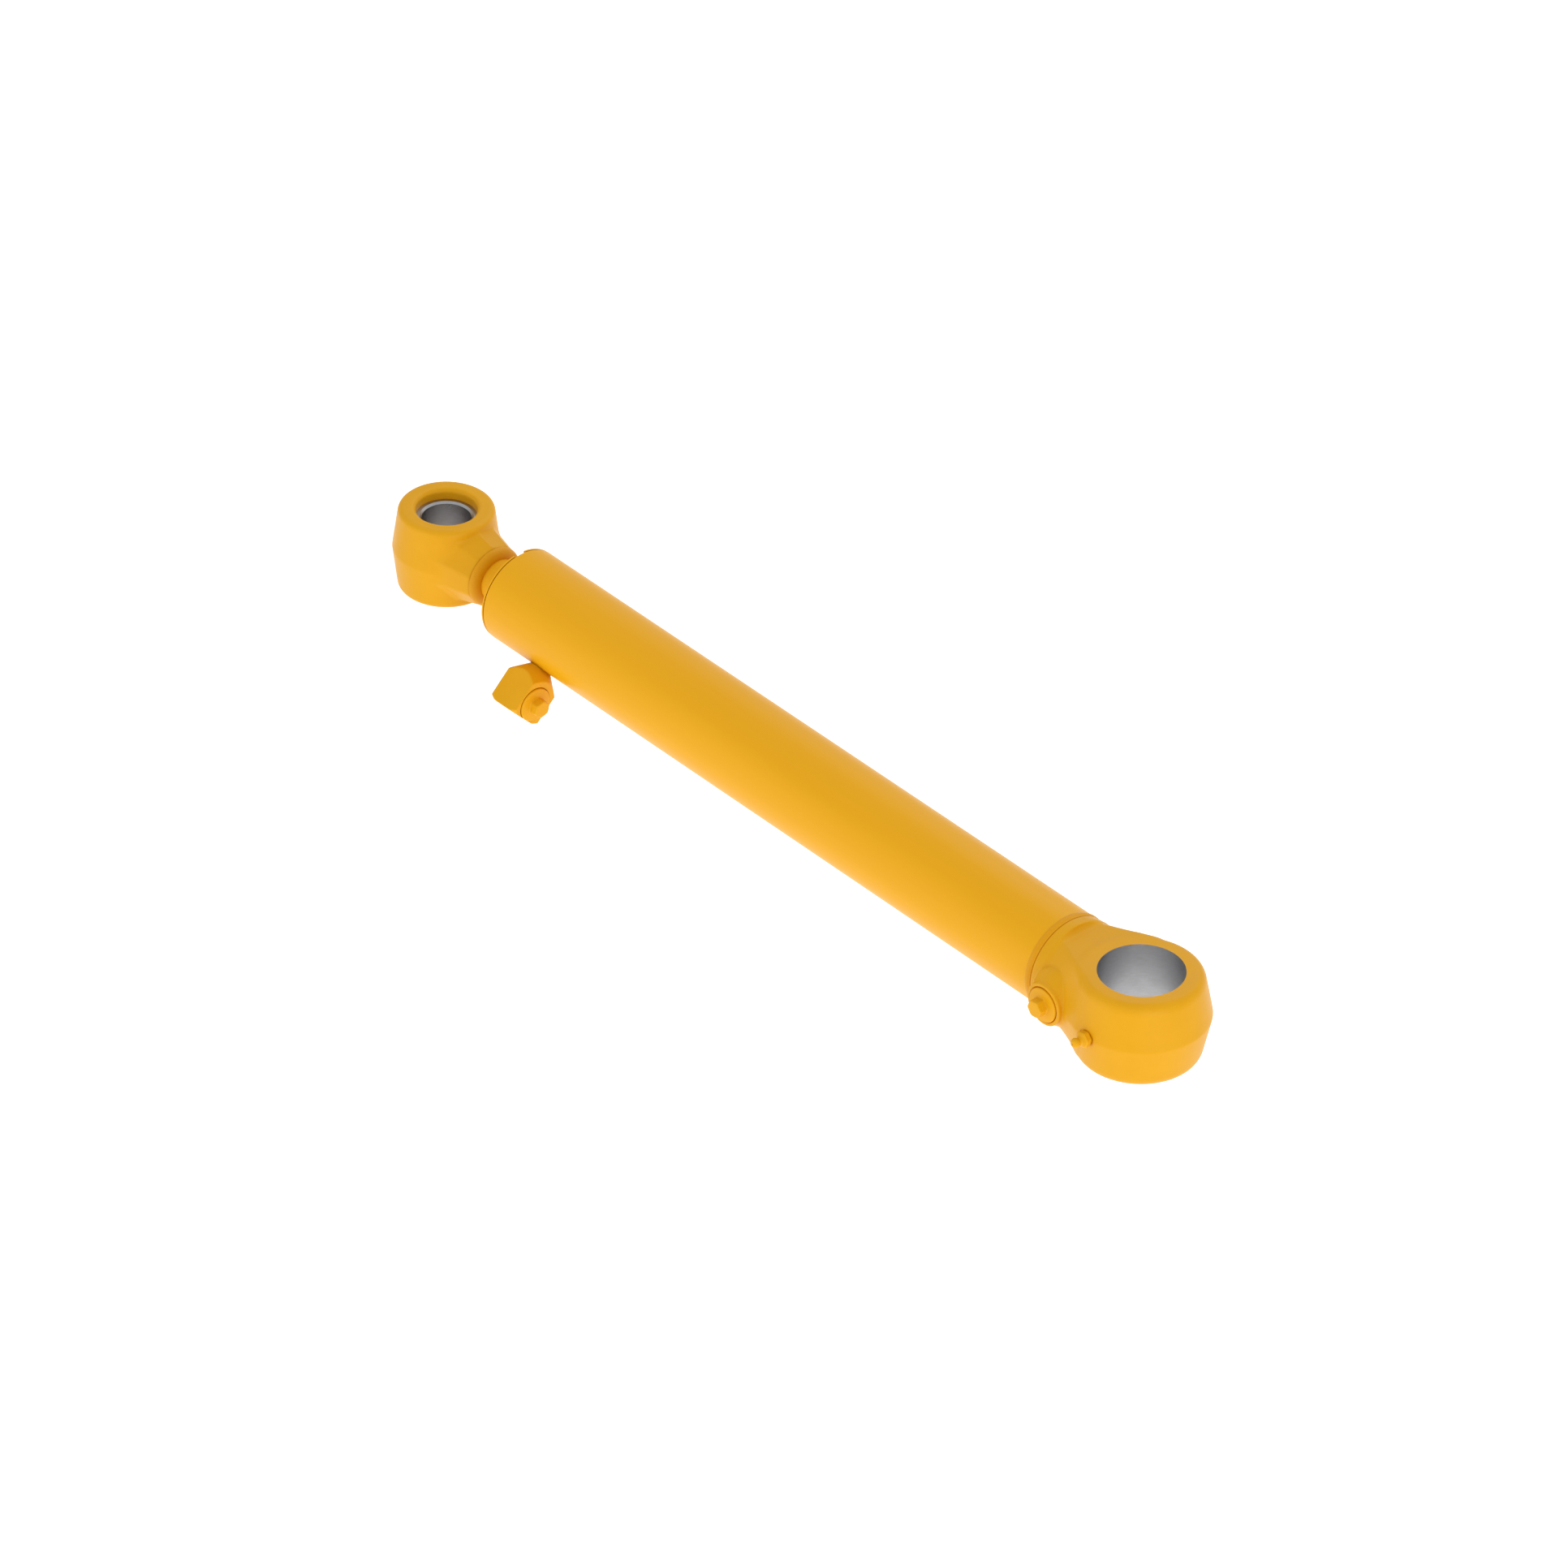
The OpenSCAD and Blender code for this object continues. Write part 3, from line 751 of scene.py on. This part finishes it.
def from_pin(nodes, links):
    """Distance from the base pin's axis."""
    split = part_coordinate(nodes, links)
    squares = [nodes.new("ShaderNodeMath") for _ in range(2)]
    for square, axis in zip(squares, "XY"):
        square.operation = "POWER"
        square.inputs[1].default_value = 2
        size = nodes.new("ShaderNodeMath")
        size.operation = "ABSOLUTE"
        links.new(split.outputs[axis], size.inputs[0])
        links.new(size.outputs[0], square.inputs[0])
    total = nodes.new("ShaderNodeMath")
    root = nodes.new("ShaderNodeMath")
    root.operation = "SQRT"
    for i in (0, 1):
        links.new(squares[i].outputs[0], total.inputs[i])
    links.new(total.outputs[0], root.inputs[0])
    return root.outputs[0]


def ragged_minus_x(nodes, links):
    """Minus X, with a ragged edge, which sets where the yellow on the rod's end stops."""
    split = part_coordinate(nodes, links)
    ragged = texture(nodes, links, "ShaderNodeTexNoise", 500, Detail=3, Roughness=0.6)
    edge = nodes.new("ShaderNodeMath")
    edge.operation = "MULTIPLY_ADD"
    edge.inputs[1].default_value = 0.003
    flip = nodes.new("ShaderNodeMath")
    flip.operation = "MULTIPLY"
    flip.inputs[1].default_value = -1
    links.new(split.outputs["X"], flip.inputs[0])
    links.new(ragged.outputs["Fac"], edge.inputs[0])
    links.new(flip.outputs[0], edge.inputs[2])
    return edge.outputs[0]


def machined(nodes, links, shader, colour, rough, contrast):
    """Fine tool marks along the part, and soft blotches."""
    marks = texture(nodes, links, "ShaderNodeTexNoise", 300, (0.5, 0.5, 2), Detail=4, Roughness=0.7)
    blotch = texture(nodes, links, "ShaderNodeTexNoise", 40, Detail=5, Roughness=0.7)
    dark = [c * (1 - contrast) for c in colour]
    light = [min(1, c * (1 + contrast)) for c in colour]
    tone = ramp(nodes, links, marks.outputs["Fac"], [(0.3, (*dark, 1)), (0.7, (*light, 1))])
    worn = 1 - min(0.15, contrast)
    stops = [(0.3, (worn, worn, worn, 1)), (0.7, (1, 1, 1, 1))]
    spots = ramp(nodes, links, blotch.outputs["Fac"], stops)
    links.new(mix(nodes, links, tone, spots, 1.0, "MULTIPLY"), shader.inputs["Base Color"])
    shader.inputs["Metallic"].default_value = 1
    sheen = level(rough * 0.8, rough * 1.25, nodes, links, blotch.outputs["Fac"])
    links.new(sheen, shader.inputs["Roughness"])
    bump(nodes, links, shader, [(marks.outputs["Fac"], contrast, 0.00008)])


def metal_material(name, colour, rough, contrast):
    material, nodes, links, shader = new_material(name)
    machined(nodes, links, shader, colour, rough, contrast)
    return material


def soft_material(name, colour, rough):
    """Rubber or seal polymer: matt, with mould texture and patches of dust."""
    material, nodes, links, shader = new_material(name)
    dust = texture(nodes, links, "ShaderNodeTexNoise", 60, Detail=5, Roughness=0.65)
    light = [min(1, c * 1.5 + 0.01) for c in colour]
    tone = ramp(nodes, links, dust.outputs["Fac"], [(0.35, (*colour, 1)), (0.7, (*light, 1))])
    links.new(tone, shader.inputs["Base Color"])
    sheen = level(rough - 0.08, rough + 0.1, nodes, links, dust.outputs["Fac"])
    links.new(sheen, shader.inputs["Roughness"])
    grain = texture(nodes, links, "ShaderNodeTexNoise", 1500, Detail=2)
    bump(nodes, links, shader, [(grain.outputs["Fac"], 0.3, 0.00008)])
    return material


def give(node, material):
    """Gives a CAD node its material."""
    data = frame["nodes"][node].data
    data.materials.clear()
    data.materials.append(material)


# ---- the scene ----


def make_camera():
    """The picture's view: a long lens, from the side of the ports and above."""
    azimuth, elevation, roll = (math.radians(a) for a in (48.015, 34.962, 1.446))
    distance, drop = 9.8823, 0.0119
    data = bpy.data.cameras.new("camera")
    data.lens = 291.61
    data.sensor_width = 36
    data.clip_end = 100
    camera = bpy.data.objects.new("camera", data)
    bpy.context.scene.collection.objects.link(camera)
    turn = Matrix.Rotation(azimuth, 4, "Z") @ Matrix.Rotation(math.pi / 2 - elevation, 4, "X")
    turn = turn @ Matrix.Rotation(roll, 4, "Z")
    aim = Vector((ROD_PIN_X * MM / 2, 0, -drop))
    back = turn.to_3x3() @ Vector((0, 0, 1))
    camera.matrix_world = Matrix.Translation(aim + back * distance) @ turn
    bpy.context.scene.camera = camera


def make_floor():
    low = cad_box[0][2]
    bpy.ops.mesh.primitive_plane_add(size=40, location=(0, 0, low - 0.35))
    floor = bpy.context.object
    floor.name = "floor"
    material, nodes, links, shader = new_material("floor")
    shader.inputs["Base Color"].default_value = (0.95, 0.95, 0.95, 1)
    shader.inputs["Roughness"].default_value = 0.9
    shader.inputs["Emission Color"].default_value = (1, 1, 1, 1)
    shader.inputs["Emission Strength"].default_value = 0.35
    floor.data.materials.append(material)


def softbox(name, place, aim, size, power):
    data = bpy.data.lights.new(name, "AREA")
    data.shape = "RECTANGLE"
    data.size, data.size_y = size
    data.energy = power
    light = bpy.data.objects.new(name, data)
    bpy.context.scene.collection.objects.link(light)
    facing = (Vector(aim) - Vector(place)).to_track_quat("-Z", "Y").to_matrix().to_4x4()
    light.matrix_world = Matrix.Translation(place) @ facing


def make_light():
    world = bpy.data.worlds.new("world")
    bpy.context.scene.world = world
    world.use_nodes = True
    world.node_tree.nodes["Background"].inputs["Color"].default_value = (1, 1, 1, 1)
    world.node_tree.nodes["Background"].inputs["Strength"].default_value = 0.78
    middle = (ROD_PIN_X * MM / 2, 0, 0)
    softbox("above", (middle[0] - 0.6, 2.0, 2.0), middle, (2.4, 1.6), 18)
    softbox("right", (middle[0] + 2.8, -0.9, 0.5), middle, (1.4, 1.4), 17)
    softbox("left", (middle[0] - 0.6, -2.6, 0.3), middle, (1.6, 1.6), 10)
    bpy.context.scene.view_settings.view_transform = "Standard"


paint = paint_material("yellow_paint")
# The barrel and gland take a copy of the yellow brightened by a tenth: painted light. Its mottling
# is stretched along the barrel.
barrel_paint = paint_material("barrel_paint", painted_light_gain=1.10, stretch=(0.06, 1, 1))
weld_paint = paint_material("weld_paint", grain=0.7, shade_reach=0.012, rough=0.45, dust=0.35)
# Block, plugs and grease fitting take a copy brightened by 5 percent: painted light.
small_paint = paint_material("small_part_paint", grain=0.35, shade_reach=0.004, painted_light_gain=1.05)
eye_paint = paint_material("eye_paint")
show_metal(eye_paint, from_pin, (BASE_BORE_R + 0.03) * MM, 0.00005, BARE_STEEL, 0.36, 0.06)
# The rod's end takes a copy brightened by a tenth against the shade it sits in: painted light.
chrome = paint_material("chrome_with_yellow_end", shade_reach=0.004, rough=0.45, painted_light_gain=1.1)
# The rod is chrome, yellow on its end up to 3 mm short of the gland.
show_metal(chrome, ragged_minus_x, -(GLAND_FACE_X - 3) * MM, 0.002, CHROME, 0.12, 0.05)
bushing_steel = metal_material("bushing_steel", (0.42, 0.42, 0.43), 0.3, 0.08)
plain_steel = metal_material("plain_steel", (0.45, 0.45, 0.46), 0.35, 0.25)
rubber = soft_material("nitrile_rubber", (0.012, 0.012, 0.013), 0.6)
sprayed_rubber = soft_material("sprayed_rubber", (0.12, 0.045, 0.002), 0.5)
wiper = soft_material("wiper_rubber", (0.02, 0.02, 0.022), 0.5)
polymer = soft_material("seal_polymer", (0.03, 0.14, 0.07), 0.45)
strip = soft_material("bearing_strip", (0.25, 0.13, 0.04), 0.5)

CARRIED = {
    barrel_paint: ["barrel_tube", "gland"],
    chrome: ["piston_rod"],
    bushing_steel: ["rod_eye_bushing"],
    plain_steel: ["piston", "piston_nut", "grease_ball"],
    sprayed_rubber: ["port_plug_o_rings"],
    rubber: [
        "gland_o_ring", "rod_seal", "rod_buffer_seal", "piston_seal_energizer", "piston_o_ring",
    ],
    wiper: ["rod_wiper"],
    polymer: ["gland_backup_ring", "piston_seal"],
    strip: ["rod_guide_rings", "piston_wear_rings"],
}
for material, nodes in CARRIED.items():
    for node in nodes:
        give(node, material)

make_base_eye(eye_paint)
make_rod_eye(paint)
make_block(small_paint)
make_plugs(small_paint)
make_grease_fitting(small_paint)
make_grease_spring(plain_steel)
make_welds(weld_paint)
make_camera()
make_floor()
make_light()
